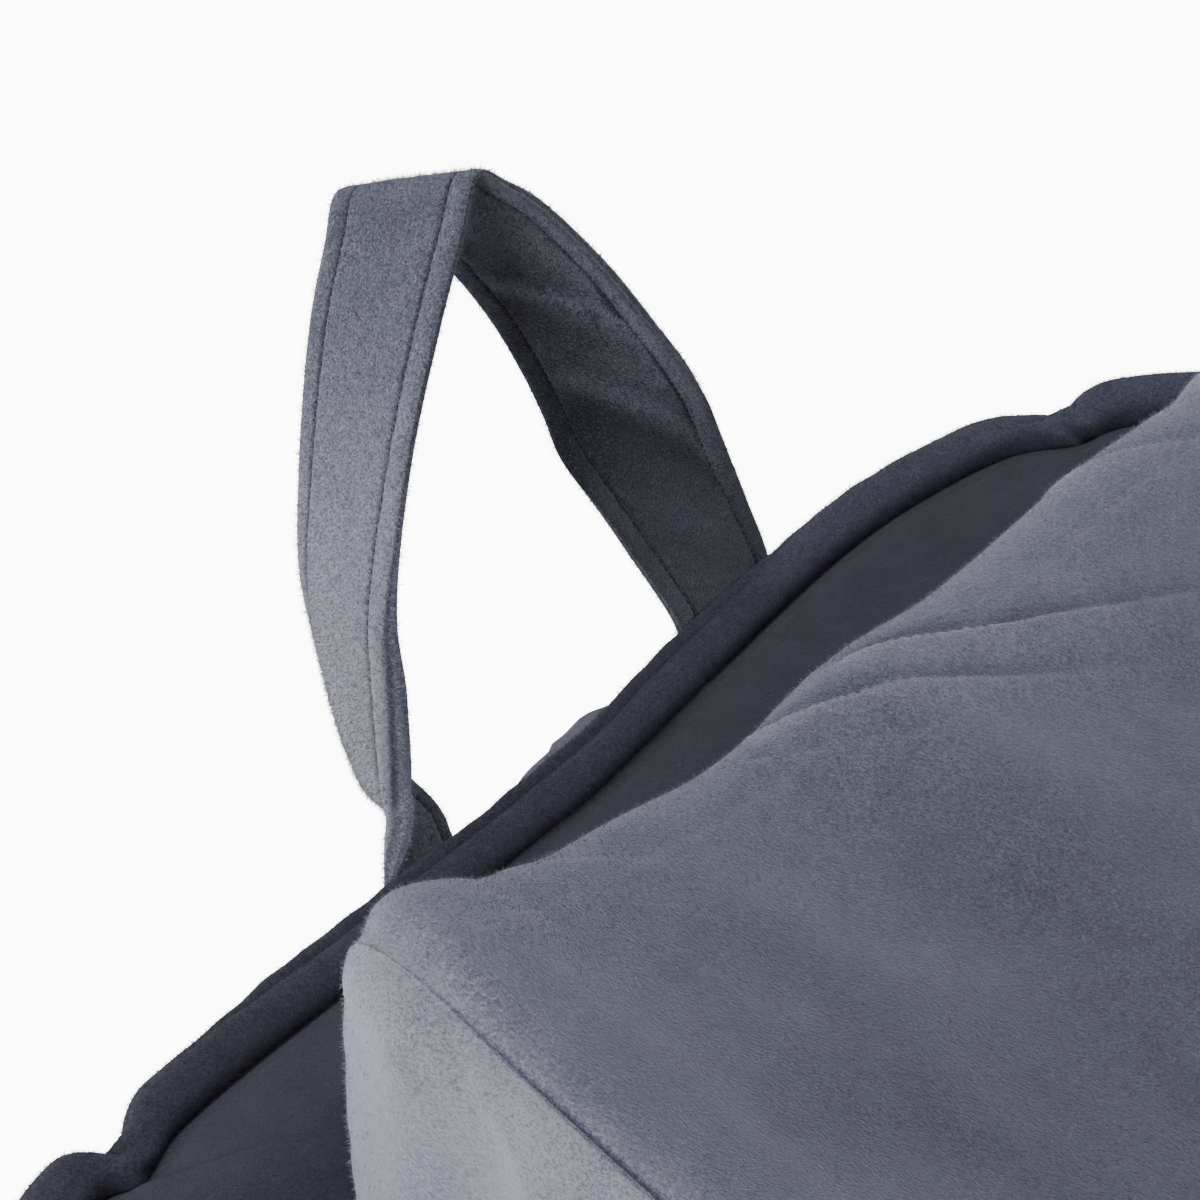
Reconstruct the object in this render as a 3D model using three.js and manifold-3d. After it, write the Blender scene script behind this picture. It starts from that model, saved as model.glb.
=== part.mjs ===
// Body pillow: a long boxed pad that lies on its back, thick rolled piping round its top seam,
// a head wedge that lies on it, and a wide strap handle sewn into the seam at the head end.
// Millimetres, +Z up, +Y towards the head end. The origin is the middle of the flat underside.
import * as THREE from 'three';
import { mergeVertices } from 'three/addons/utils/BufferGeometryUtils.js';
import Module from 'manifold-3d';

// Driving dimensions of the pad, measured to the centre line of its piping
const PAD_HALF_WIDTH = 322;
const PAD_HALF_LENGTH = 594;
const CORNER_RADIUS = 100;
const SIDE_DRAW = 8;
const FOOT_BOW = 5;
const PIPE_RADIUS = 8;
const PIPE_Z = 105;
const CROWN = 24;
const GAP = 0.3;

// Unevenness of the stuffing: how far it moves a surface, and how often along the cloth
const SIDE_WAVE = { share: 0.3, length: 97 };
const WALL_WAVE = { size: 1.6, length: 41, lengthUp: 30 };
const PANEL_WAVE = { size: 2, lengthX: 71, lengthY: 93 };

// What a full corner and a gather do to the seam
const CORNER_SWELL = 3;
const CORNER_FATTER = 0.28;
const GATHER_THINNER = 0.28;
const GATHER_WIDTH = 13;
const GATHER_ON_WALL = 0.5;

// The head edge: the top and the outer side of its piping, from which the handle is set out
const HEAD_Y = 600;
const TOP_Z = 110;

// Driving dimensions of the wedge
const WEDGE_HALF_WIDTH = 205;
const WEDGE_SETBACK = 100;
const WEDGE_DEPTH = 300;
const SEAT_Z = 112;
const WEDGE_RIDGE_RADIUS = 17;
const WEDGE_BASE_RADIUS = 12;
const WEDGE_END_CROWN = 9;
const WEDGE_BACK_CROWN = 5;
const WEDGE_TOP_CROWN = { down: 4, up: 15 };
const SEAT_SLOPE = 60;

// Driving dimensions of the handle's strap
const STRAP_WIDTH = 50;
const STRAP_THICKNESS = 5;
const STRAP_STEPS = 64;

// How far the head edge stands out of its straight line, along the edge
const HEAD_EDGE = [
  { x: -322, out: -22 },
  { x: -240, out: -12 },
  { x: -172, out: -7 },
  { x: -116, out: -6 },
  { x: -47, out: -5 },
  { x: 0, out: -3 },
  { x: 57, out: 5 },
  { x: 147, out: 14 },
  { x: 199, out: 10 },
  { x: 250, out: -2 },
  { x: 322, out: -16 },
];

// Gathers where a corner begins: along is measured from that end of the corner's arc
const GATHERS = [
  { corner: 0, end: 0, along: 0, depth: 9 },
  { corner: 0, end: 1, along: 10, depth: 6 },
  { corner: 1, end: 0, along: -6, depth: 7 },
  { corner: 1, end: 1, along: 4, depth: 6 },
  { corner: 2, end: 0, along: 0, depth: 6 },
  { corner: 2, end: 1, along: -8, depth: 7 },
  { corner: 3, end: 0, along: 6, depth: 6 },
  { corner: 3, end: 1, along: -23, depth: 9 },
];

// Height of the wedge's ridge over its seat, high at the sewn corners and sagging between them
const WEDGE_RIDGE = [
  { x: -205, height: 117 },
  { x: -190, height: 115 },
  { x: -172, height: 108 },
  { x: -156, height: 99 },
  { x: -128, height: 91 },
  { x: -103, height: 85 },
  { x: -68, height: 77 },
  { x: -40, height: 76 },
  { x: -20, height: 79 },
  { x: 5, height: 81 },
  { x: 40, height: 78 },
  { x: 75, height: 77 },
  { x: 127, height: 81 },
  { x: 182, height: 79 },
  { x: 205, height: 90 },
];

// Soft folds that run down from the ridge: down is measured along the top, from the ridge
const WEDGE_FOLDS = [
  { x: -143, down: -6, toX: -105, toDown: 14, width: 8, rise: -4 },
  { x: -28, down: 4, toX: 50, toDown: 46, width: 11, rise: 3.5 },
  { x: -2, down: 2, toX: 92, toDown: 40, width: 10, rise: 3.5 },
  { x: 108, down: -2, toX: 195, toDown: 24, width: 11, rise: 3 },
  { x: -190, down: 90, toX: -90, toDown: 150, width: 34, rise: -3 },
  { x: 40, down: 150, toX: 185, toDown: 215, width: 40, rise: 3 },
];

// The handle's strap from one sewn end to the other, past the fold at its top. out and up are
// measured from the head edge. heading and rise turn the strap's width, cup bows its middle.
const STRAP = [
  { x: -69, out: 5, up: -18, heading: -176, rise: 4, cup: 0 },
  { x: -68, out: 6.5, up: -8, heading: -170, rise: 14, cup: 2 },
  { x: -64, out: 8, up: 4, heading: -158, rise: 32, cup: 6 },
  { x: -67, out: 12, up: 23, heading: -134, rise: 36, cup: 10 },
  { x: -70, out: 20, up: 52, heading: -114, rise: 27, cup: 8 },
  { x: -69, out: 28, up: 79, heading: -105, rise: 21, cup: 3 },
  { x: -54, out: 38, up: 111, heading: -93, rise: 26, cup: 0 },
  { x: -30, out: 50, up: 147, heading: -81, rise: 23, cup: 0 },
  { x: -13, out: 57, up: 166, heading: -77, rise: 22, cup: 0 },
  { x: -1, out: 62, up: 177, heading: -75, rise: 22, cup: 0 },
  { x: 14, out: 60, up: 165, heading: -79, rise: 28, cup: 0 },
  { x: 28, out: 56, up: 150, heading: -83, rise: 38, cup: 1 },
  { x: 46, out: 48, up: 121, heading: -76, rise: 44, cup: 2 },
  { x: 60, out: 38, up: 88, heading: -56, rise: 42, cup: 3 },
  { x: 72, out: 29, up: 56, heading: -20, rise: 12, cup: 3 },
  { x: 83, out: 21, up: 25, heading: -8, rise: 0, cup: 1 },
  { x: 93, out: 14.5, up: -4, heading: 4, rise: 0, cup: 0 },
  { x: 94, out: 13.6, up: -16, heading: 4, rise: 0, cup: 0 },
];

const velvet = (colour) => new THREE.MeshStandardMaterial({ color: colour, roughness: 0.9, metalness: 0 });

const rad = THREE.MathUtils.degToRad;
const { lerp, smoothstep, clamp } = THREE.MathUtils;

// A smooth value between the rows of a table
function between(rows, key, value, at) {
  const last = rows.length - 2;
  let i = 0;
  while (i < last && at > rows[i + 1][key]) i += 1;
  const slope = (j) => {
    const a = rows[Math.max(j - 1, 0)];
    const b = rows[Math.min(j + 1, rows.length - 1)];
    return (b[value] - a[value]) / (b[key] - a[key]);
  };
  const span = rows[i + 1][key] - rows[i][key];
  const t = clamp((at - rows[i][key]) / span, 0, 1);
  const t2 = t * t;
  const t3 = t2 * t;
  return (2 * t3 - 3 * t2 + 1) * rows[i][value] + (t3 - 2 * t2 + t) * span * slope(i)
    + (3 * t2 - 2 * t3) * rows[i + 1][value] + (t3 - t2) * span * slope(i + 1);
}

// A closed geometry from rings with the same number of points, that wind anticlockwise when
// seen from the last ring. Each end is closed to the middle point given, or joined round.
function loft(rings, startPoint, endPoint) {
  const count = rings[0].length;
  const positions = rings.flat().flatMap((p) => [p.x, p.y, p.z]);
  const index = [];
  const joined = startPoint === undefined;
  const bands = joined ? rings.length : rings.length - 1;
  for (let r = 0; r < bands; r += 1) {
    const next = (r + 1) % rings.length;
    for (let i = 0; i < count; i += 1) {
      const j = (i + 1) % count;
      const a = r * count + i;
      const b = r * count + j;
      const c = next * count + j;
      const d = next * count + i;
      index.push(a, b, c, a, c, d);
    }
  }
  if (!joined) {
    const first = positions.length / 3;
    positions.push(startPoint.x, startPoint.y, startPoint.z, endPoint.x, endPoint.y, endPoint.z);
    const top = (rings.length - 1) * count;
    for (let i = 0; i < count; i += 1) {
      const j = (i + 1) % count;
      index.push(first, j, i, first + 1, top + i, top + j);
    }
  }
  const geometry = new THREE.BufferGeometry();
  geometry.setAttribute('position', new THREE.Float32BufferAttribute(positions, 3));
  geometry.setIndex(index);
  return geometry;
}

// Plan of the pad: a rounded rectangle, followed anticlockwise from the middle of the head edge
const HALF_END = PAD_HALF_WIDTH - CORNER_RADIUS;
const HALF_SIDE = PAD_HALF_LENGTH - CORNER_RADIUS;
const ARC = CORNER_RADIUS * Math.PI / 2;
const CORNERS = [
  { x: -HALF_END, y: HALF_SIDE, from: 90, start: HALF_END },
  { x: -HALF_END, y: -HALF_SIDE, from: 180, start: HALF_END + ARC + 2 * HALF_SIDE },
  { x: HALF_END, y: -HALF_SIDE, from: 270, start: 3 * HALF_END + 2 * ARC + 2 * HALF_SIDE },
  { x: HALF_END, y: HALF_SIDE, from: 360, start: 3 * HALF_END + 3 * ARC + 4 * HALF_SIDE },
];
const PERIMETER = 4 * HALF_END + 4 * HALF_SIDE + 4 * ARC;

// Room for rounding where an arc meets the straight after it
const ROUNDING = 1e-6;

function roundedRectangle(s) {
  for (const corner of CORNERS) {
    const along = s - corner.start;
    if (along >= 0 && along <= ARC + ROUNDING) {
      const angle = rad(corner.from + 90 * along / ARC);
      const normal = new THREE.Vector2(Math.cos(angle), Math.sin(angle));
      return { point: new THREE.Vector2(corner.x, corner.y).addScaledVector(normal, CORNER_RADIUS), normal };
    }
  }
  const after = CORNERS.findLast((corner) => s > corner.start + ARC);
  const from = after ? after.from + 90 : 90;
  const normal = new THREE.Vector2(Math.round(Math.cos(rad(from))), Math.round(Math.sin(rad(from))));
  const tangent = new THREE.Vector2(-normal.y, normal.x);
  const start = after
    ? new THREE.Vector2(after.x, after.y).addScaledVector(normal, CORNER_RADIUS)
    : new THREE.Vector2(0, PAD_HALF_LENGTH);
  return { point: start.addScaledVector(tangent, after ? s - after.start - ARC : s), normal };
}

// How strongly the gathers and the full corners shape the seam at s
const nearness = (at, place, width) => Math.exp(-(((at - place) / width) ** 2));
const gatherPlace = (g) => CORNERS[g.corner].start + g.end * ARC + g.along;
const total = (rows, share) => rows.reduce((sum, row) => sum + share(row), 0);
const gathered = (s) => total(GATHERS, (g) => g.depth * nearness(s, gatherPlace(g), GATHER_WIDTH));
const fullness = (s) => total(CORNERS, (c) => Math.exp(-(((s - c.start - ARC / 2) / (0.42 * ARC)) ** 4)));

// The piping's centre line: ends that bow out as sewn, and sides drawn in between their corners
function seamStation(s) {
  const { point, normal } = roundedRectangle(s);
  const lengthways = point.y / PAD_HALF_LENGTH;
  const headward = smoothstep(lengthways, 0.5, 1);
  const footward = smoothstep(-lengthways, 0.5, 1);
  const pull = gathered(s);
  point.y += headward * between(HEAD_EDGE, 'x', 'out', point.x);
  point.y -= footward * FOOT_BOW * Math.cos(Math.PI * point.x / PAD_HALF_WIDTH);
  const draw = SIDE_DRAW * (1 - lengthways ** 2) * (1 + SIDE_WAVE.share * Math.sin(s / SIDE_WAVE.length));
  point.x *= 1 - draw / PAD_HALF_WIDTH;
  point.addScaledVector(normal, CORNER_SWELL * fullness(s) - pull);
  const radius = PIPE_RADIUS * (1 + CORNER_FATTER * fullness(s)) - GATHER_THINNER * pull;
  return { s, point, normal, radius };
}

// Places along the seam: even on the straights, closer round the corners and at the gathers
function seamPlaces() {
  const CORNER_PARTS = 8;
  const STRAIGHT_PARTS = [22, 10, 22, 6];
  const LEAST_STEP = 3.5;
  const places = [];
  const spread = (from, to, parts) => {
    for (let i = 0; i < parts; i += 1) places.push(lerp(from, to, i / parts));
  };
  spread(0, HALF_END, STRAIGHT_PARTS.at(-1));
  CORNERS.forEach((corner, i) => {
    const next = i < 3 ? CORNERS[i + 1].start : PERIMETER;
    spread(corner.start, corner.start + ARC, CORNER_PARTS);
    spread(corner.start + ARC, next, STRAIGHT_PARTS[i]);
  });
  for (const g of GATHERS) {
    for (const step of [-20, -10, 0, 10, 20]) places.push(gatherPlace(g) + step);
  }
  places.sort((a, b) => a - b);
  return places.filter((s, i) => i === 0 || s - places[i - 1] > LEAST_STEP);
}
const SEAM = seamPlaces().map(seamStation);

const wedgeBackY = HEAD_Y - WEDGE_SETBACK;
const wedgeFrontY = wedgeBackY - WEDGE_DEPTH;

// Height of the pad's top: it rises from the seam to its crown, and is pressed down by the wedge
function panelZ(x, y, inward) {
  const wave = PANEL_WAVE.size * Math.sin(x / PANEL_WAVE.lengthX) * Math.sin(y / PANEL_WAVE.lengthY);
  const free = PIPE_Z - 1 + CROWN * (1 - (1 - inward) ** 3) + wave * inward;
  const fromMiddle = Math.abs(y - (wedgeBackY + wedgeFrontY) / 2);
  const acrossX = smoothstep(WEDGE_HALF_WIDTH + SEAT_SLOPE - Math.abs(x), 0, SEAT_SLOPE);
  const acrossY = smoothstep(WEDGE_DEPTH / 2 + SEAT_SLOPE - fromMiddle, 0, SEAT_SLOPE);
  return lerp(free, SEAT_Z + 1, acrossX * acrossY);
}

// Wall of the pad from its underside up to the groove that the piping lies in. out is measured
// from the piping's centre line; in the groove both sizes are shares of the piping's radius.
const WALL = [
  { out: -34, z: 0 },
  { out: -18, z: 0 },
  { out: -5, z: 5 },
  { out: 4, z: 18 },
  { out: 9, z: 45 },
  { out: 10, z: 72 },
  { out: 8, z: 90 },
];
const GROOVE = [
  { out: 0, up: -1.2 },
  { out: -0.86, up: -0.86 },
  { out: -1.2, up: 0 },
  { out: -1.5, up: 0.25 },
];
const PANEL_RINGS = [0.07, 0.15, 0.26, 0.4, 0.58, 0.8];

function padGeometry() {
  const at = (station, out, z) => {
    const p = station.point.clone().addScaledVector(station.normal, out);
    return new THREE.Vector3(p.x, p.y, z);
  };
  const rings = [];
  for (const row of WALL) {
    rings.push(SEAM.map((station) => {
      const wave = WALL_WAVE.size * Math.sin(station.s / WALL_WAVE.length + row.z / WALL_WAVE.lengthUp);
      const uneven = row.z > 0 ? wave - GATHER_ON_WALL * gathered(station.s) : 0;
      return at(station, row.out + uneven, row.z);
    }));
  }
  for (const row of GROOVE) {
    rings.push(SEAM.map((station) => {
      const { radius } = station;
      return at(station, row.out * radius, PIPE_Z + row.up * radius);
    }));
  }
  const edge = rings.at(-1);
  for (const inward of PANEL_RINGS) {
    rings.push(edge.map((p) => {
      const spineY = clamp(p.y, -HALF_SIDE + CORNER_RADIUS, HALF_SIDE - CORNER_RADIUS);
      const x = lerp(p.x, 0, inward);
      const y = lerp(p.y, spineY, inward);
      return new THREE.Vector3(x, y, panelZ(x, y, inward));
    }));
  }
  return loft(rings, new THREE.Vector3(0, 0, 0), new THREE.Vector3(0, 0, panelZ(0, 0, 1)));
}

function pipingGeometry() {
  const SIDES = 8;
  return loft(SEAM.map((station) => {
    const ring = [];
    for (let i = 0; i < SIDES; i += 1) {
      const angle = -2 * Math.PI * (i + 0.5) / SIDES;
      const p = station.point.clone().addScaledVector(station.normal, station.radius * Math.cos(angle));
      ring.push(new THREE.Vector3(p.x, p.y, PIPE_Z + station.radius * Math.sin(angle)));
    }
    return ring;
  }));
}

// Section of the wedge, as points (down, z): down runs from the back wall towards the front
function wedgeSection(height) {
  const path = new THREE.Path();
  const slope = Math.hypot(WEDGE_DEPTH, height);
  const downUnit = new THREE.Vector2(WEDGE_DEPTH / slope, -height / slope);
  const ridge = new THREE.Vector2(0, height);
  const ridgeEnd = ridge.clone().addScaledVector(downUnit, WEDGE_RIDGE_RADIUS * 1.5);
  const toeStart = ridge.clone().addScaledVector(downUnit, slope - WEDGE_BASE_RADIUS * 2);
  const crown = new THREE.Vector2(WEDGE_TOP_CROWN.down, WEDGE_TOP_CROWN.up);
  const belly = ridgeEnd.clone().lerp(toeStart, 0.45).add(crown);
  path.moveTo(WEDGE_BASE_RADIUS, 0);
  path.lineTo(WEDGE_DEPTH * 0.5, 0);
  path.lineTo(WEDGE_DEPTH - WEDGE_BASE_RADIUS * 2, 0);
  path.quadraticCurveTo(WEDGE_DEPTH, 0, toeStart.x, toeStart.y);
  path.quadraticCurveTo(belly.x, belly.y, ridgeEnd.x, ridgeEnd.y);
  path.quadraticCurveTo(ridge.x, ridge.y, 0, height - WEDGE_RIDGE_RADIUS);
  path.quadraticCurveTo(-WEDGE_BACK_CROWN, height * 0.45, 0, WEDGE_BASE_RADIUS);
  path.quadraticCurveTo(0, 0, WEDGE_BASE_RADIUS, 0);
  const points = [];
  const divisions = [1, 1, 4, 24, 5, 5, 3];
  path.curves.forEach((curve, i) => points.push(...curve.getPoints(divisions[i]).slice(1)));
  return points.reverse();
}

// How far the soft folds lift or press the wedge's top at x, down from the ridge. A fold is
// strongest at its middle.
function foldLift(x, down) {
  return total(WEDGE_FOLDS, (fold) => {
    const run = new THREE.Vector2(fold.toX - fold.x, fold.toDown - fold.down);
    const from = new THREE.Vector2(x - fold.x, down - fold.down);
    const along = clamp(from.dot(run) / run.lengthSq(), 0, 1);
    const away = from.distanceTo(run.clone().multiplyScalar(along));
    const strength = 1 - 1.4 * (along - 0.5) ** 2;
    return fold.rise * strength * nearness(away, 0, fold.width);
  });
}

function wedgeRing(x) {
  const height = between(WEDGE_RIDGE, 'x', 'height', x);
  return wedgeSection(height).map((p) => {
    const onTop = smoothstep(p.y, WEDGE_BASE_RADIUS, 40);
    const z = SEAT_Z + GAP + p.y + onTop * foldLift(x, p.x);
    return new THREE.Vector3(x, wedgeBackY - p.x, z);
  });
}

// The filled ends swell: each ring is drawn in towards the end's middle as it moves outwards
function wedgeEnd(side) {
  const rim = wedgeRing(side * WEDGE_HALF_WIDTH);
  const middle = { y: wedgeBackY - WEDGE_DEPTH * 0.3, z: SEAT_Z + 42 };
  const rings = [0, 0.05, 0.2, 0.5, 1].map((inward) => rim.map((p) => {
    const swollen = side * (WEDGE_HALF_WIDTH + WEDGE_END_CROWN * Math.sin(inward * Math.PI / 2));
    return new THREE.Vector3(swollen, lerp(p.y, middle.y, inward), lerp(p.z, middle.z, inward));
  }));
  const centre = rings.pop()[0];
  return { rings, centre };
}

function wedgeGeometry() {
  const STEPS = 40;
  const left = wedgeEnd(-1);
  const right = wedgeEnd(1);
  const rings = [...left.rings.reverse()];
  for (let i = 1; i < STEPS; i += 1) {
    rings.push(wedgeRing(lerp(-WEDGE_HALF_WIDTH, WEDGE_HALF_WIDTH, i / STEPS)));
  }
  rings.push(...right.rings);
  return loft(rings, left.centre, right.centre);
}

// Section of the strap: across its width from -1 to 1, and its thickness there
const STRAP_SECTION = [
  { across: -1, thick: 0 },
  { across: -0.95, thick: 0.9 },
  { across: -0.72, thick: 0.8 },
  { across: -0.35, thick: 1 },
  { across: 0, thick: 1 },
  { across: 0.35, thick: 1 },
  { across: 0.72, thick: 0.8 },
  { across: 0.95, thick: 0.9 },
  { across: 1, thick: 0 },
];

function strapGeometry() {
  const middle = new THREE.CatmullRomCurve3(
    STRAP.map((row) => new THREE.Vector3(row.x, HEAD_Y + row.out, TOP_Z + row.up)), false, 'centripetal');
  const rows = STRAP.map((row, i) => ({ ...row, i }));
  const rings = [];
  for (let step = 0; step <= STRAP_STEPS; step += 1) {
    const t = step / STRAP_STEPS;
    const place = t * (STRAP.length - 1);
    const heading = rad(between(rows, 'i', 'heading', place));
    const rise = rad(between(rows, 'i', 'rise', place));
    const cup = between(rows, 'i', 'cup', place);
    const width = new THREE.Vector3(
      Math.cos(heading) * Math.cos(rise), Math.sin(heading) * Math.cos(rise), Math.sin(rise));
    const outward = width.clone().cross(middle.getTangent(t)).normalize();
    const centre = middle.getPoint(t);
    const onFace = (row, side) => centre.clone()
      .addScaledVector(width, row.across * STRAP_WIDTH / 2)
      .addScaledVector(outward, cup * (1 - row.across ** 2) + side * row.thick * STRAP_THICKNESS / 2);
    const face = STRAP_SECTION.map((row) => onFace(row, 1));
    const back = STRAP_SECTION.slice(1, -1).reverse().map((row) => onFace(row, -1));
    rings.push([...face, ...back]);
  }
  const sum = (ring) => ring.reduce((all, p) => all.add(p), new THREE.Vector3());
  const [leftFoot, rightFoot] = [rings[0], rings.at(-1)].map((ring) => sum(ring).divideScalar(ring.length));
  return loft(rings, leftFoot, rightFoot);
}

// Cutting one solid by another
const wasm = await Module();
wasm.setup();

function asSolid(geometry) {
  const merged = mergeVertices(geometry, 1e-4);
  return new wasm.Manifold(new wasm.Mesh({
    numProp: 3,
    vertProperties: new Float32Array(merged.attributes.position.array),
    triVerts: new Uint32Array(merged.index.array),
  }));
}

function asGeometry(solid) {
  const mesh = solid.getMesh();
  const geometry = new THREE.BufferGeometry();
  geometry.setAttribute('position', new THREE.BufferAttribute(mesh.vertProperties, 3));
  geometry.setIndex(new THREE.BufferAttribute(mesh.triVerts, 1));
  return geometry;
}

// The wedge's seat in the pad: a level floor a little wider than the wedge's base
function seatCutter() {
  const SEAT_MARGIN = 4;
  const HEIGHT = 60;
  const width = 2 * (WEDGE_HALF_WIDTH + WEDGE_END_CROWN + SEAT_MARGIN);
  const cutter = new THREE.BoxGeometry(width, WEDGE_DEPTH + 2 * SEAT_MARGIN, HEIGHT);
  cutter.deleteAttribute('normal');
  cutter.deleteAttribute('uv');
  cutter.translate(0, (wedgeBackY + wedgeFrontY) / 2, SEAT_Z + HEIGHT / 2);
  return cutter;
}

const pillow = new THREE.Group();

function addPiece(name, geometry, colour) {
  const mesh = new THREE.Mesh(geometry, velvet(colour));
  mesh.name = name;
  pillow.add(mesh);
}

const pad = asSolid(padGeometry()).subtract(asSolid(seatCutter()));
addPiece('pad', asGeometry(pad), 0x474855);
addPiece('piping', pipingGeometry(), 0x34353f);
addPiece('head_wedge', wedgeGeometry(), 0x6a6c78);
addPiece('handle', strapGeometry(), 0x7a7b85);

export default pillow;
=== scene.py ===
"""Looks of the body pillow: its velvet pad, rolled piping, head wedge and strap handle.

Shapes are worked out in millimetres in the row frame and become metres when a mesh is made.
"""
import math

import bpy
import numpy as np
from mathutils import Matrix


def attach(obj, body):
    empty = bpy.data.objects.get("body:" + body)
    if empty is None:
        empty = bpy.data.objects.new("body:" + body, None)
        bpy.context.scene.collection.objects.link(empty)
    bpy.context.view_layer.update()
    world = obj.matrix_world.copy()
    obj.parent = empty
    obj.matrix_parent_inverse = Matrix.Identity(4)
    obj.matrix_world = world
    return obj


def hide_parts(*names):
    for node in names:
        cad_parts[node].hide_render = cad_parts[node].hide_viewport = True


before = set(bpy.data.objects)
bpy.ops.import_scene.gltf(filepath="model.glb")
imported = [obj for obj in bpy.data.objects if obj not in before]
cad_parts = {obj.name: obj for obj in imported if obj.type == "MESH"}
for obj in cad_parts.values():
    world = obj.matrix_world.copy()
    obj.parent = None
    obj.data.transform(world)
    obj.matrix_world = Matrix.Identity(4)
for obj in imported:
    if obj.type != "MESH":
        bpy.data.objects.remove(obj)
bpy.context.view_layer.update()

MM = 0.001

# How far the underside stays off the floor, so that the two don't lie in one plane
OFF_FLOOR = 0.3

# Driving sizes of the pad and its seam, as in the part's source
PAD_HALF_WIDTH = 322
PAD_HALF_LENGTH = 594
CORNER_RADIUS = 100
SIDE_DRAW = 8
FOOT_BOW = 5
PIPE_RADIUS = 8
PIPE_Z = 105
CROWN = 24
HEAD_Y = 600
TOP_Z = 110

# Driving sizes of the wedge and the strap
WEDGE_HALF_WIDTH = 205
WEDGE_BACK_Y = 500
WEDGE_DEPTH = 300
WEDGE_END_SWELL = 12
SEAT_Z = 112
STRAP_HALF_WIDTH = 25

# How far the head edge stands out of its straight line: x, out
HEAD_EDGE = [(-322, -22), (-240, -12), (-172, -7), (-116, -6), (-47, -5), (0, -3), (57, 5),
             (147, 14), (199, 10), (250, -2), (322, -16)]

# Gathers where a corner begins: corner, end of its arc, place along, depth, reach into the corner
GATHERS = [(0, 0, 0, 9, 6), (0, 1, 10, 6, 7), (1, 0, -6, 7, 6), (1, 1, 4, 6, 8),
           (2, 0, 0, 6, 7), (2, 1, -8, 7, 6), (3, 0, 6, 6, 7), (3, 1, -23, 9, 15)]

# Height of the wedge's ridge over its seat: x, height
WEDGE_RIDGE = [(-205, 117), (-190, 115), (-172, 108), (-156, 99), (-128, 91), (-103, 85), (-68, 77),
               (-40, 76), (-20, 79), (5, 81), (40, 78), (75, 77), (127, 81), (182, 79), (205, 90)]

# Folds and furrows of the wedge's top: x, down, to x, to down, width, rise
WEDGE_FOLDS = [(-143, -6, -105, 14, 8, -4), (-28, 4, 50, 46, 11, 3.5), (-2, 2, 92, 40, 10, 3.5),
               (108, -2, 195, 24, 11, 3), (-190, 90, -90, 150, 34, -3), (40, 150, 185, 215, 40, 3)]

# Laps of cloth by the wedge's ridge: x, down, to x, down, to x, down, width, rise
WEDGE_LAPS = [(-8, 5, 44, 25, 122, 66, 15, 3.4), (-42, 2, -6, 19, 66, 62, 14, 3.1),
              (110, -2, 141, 10, 190, 36, 12, 1.8), (-52, 8, -30, 22, 2, 44, 10, 0.7),
              (-150, 0, -128, 10, -98, 30, 9, 1.0), (160, -4, 180, 8, 200, 24, 8, 1.0)]

# The handle's strap from one foot to the other: x, out, up, heading, rise, cup
STRAP = [(-69, 5, -18, -176, 4, 0), (-68, 6.5, -8, -170, 14, 2), (-64, 8, 4, -158, 32, 6),
         (-67, 12, 23, -134, 36, 10), (-70, 20, 52, -114, 27, 8), (-69, 28, 79, -105, 21, 3),
         (-54, 38, 111, -93, 26, 0), (-30, 50, 147, -81, 23, 0), (-13, 57, 166, -77, 22, 0),
         (-1, 62, 177, -75, 22, 0), (14, 60, 165, -79, 28, 0), (28, 56, 150, -83, 38, 1),
         (46, 48, 121, -76, 44, 2), (60, 38, 88, -56, 42, 3), (72, 29, 56, -20, 12, 3),
         (83, 21, 25, -8, 0, 1), (93, 14.5, -4, 4, 0, 0), (94, 13.6, -16, 4, 0, 0)]

# Unevenness of the cloths: depth, length of its waves, seed
WALL_WAVES = (1.1, 60, 3)
WALL_PLEATS = (0.8, 17, 4)
PANEL_PUCKERS = (1.3, 22, 5)
PANEL_SWELLS = (1.3, 95, 6)
ROLL_LUMPS = (0.03, 70, 11)
ROLL_CREASES = (0.15, 16, 12)
WEDGE_PUCKERS = (0.6, 17, 21)
WEDGE_SWELLS = (1.1, 75, 22)
WEDGE_DENTS = (0.3, 28, 23)
END_HIGHLIGHT_UNEVENNESS = (0.5, 60, 24)
END_PUCKERS = (0.7, 19, 31)
END_FOLDS = (2.2, 48, 32)
LEFT_END_STREAKS = (0.07, 34, 33)
STRAP_GATHERS = (0.12, 7, 41)
STRAP_WAVES = (0.5, 80, 42)


# Small helpers for curves and unevenness

def smooth(value, low, high):
    """0 below low, 1 above high, and an even rise between them."""
    t = np.clip((value - low) / (high - low), 0, 1)
    return t * t * (3 - 2 * t)


def lerp(a, b, t):
    return a + (b - a) * t


def bump(value, middle, width):
    """1 at the middle, falling away on both sides within about the width."""
    return np.exp(-((value - middle) / width) ** 2)


def between(rows, at):
    """A smooth value between the rows of a table of (key, value)."""
    keys, values = np.array(rows, float).T
    last = len(keys) - 1
    low = np.clip(np.arange(-1, last), 0, last)
    high = np.clip(np.arange(1, last + 2), 0, last)
    slopes = (values[high] - values[low]) / (keys[high] - keys[low])
    i = np.clip(np.searchsorted(keys, at, side="right") - 1, 0, last - 1)
    span = keys[i + 1] - keys[i]
    t = np.clip((at - keys[i]) / span, 0, 1)
    t2, t3 = t * t, t ** 3
    return ((2 * t3 - 3 * t2 + 1) * values[i] + (t3 - 2 * t2 + t) * span * slopes[i]
            + (3 * t2 - 2 * t3) * values[i + 1] + (t3 - t2) * span * slopes[i + 1])


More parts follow.
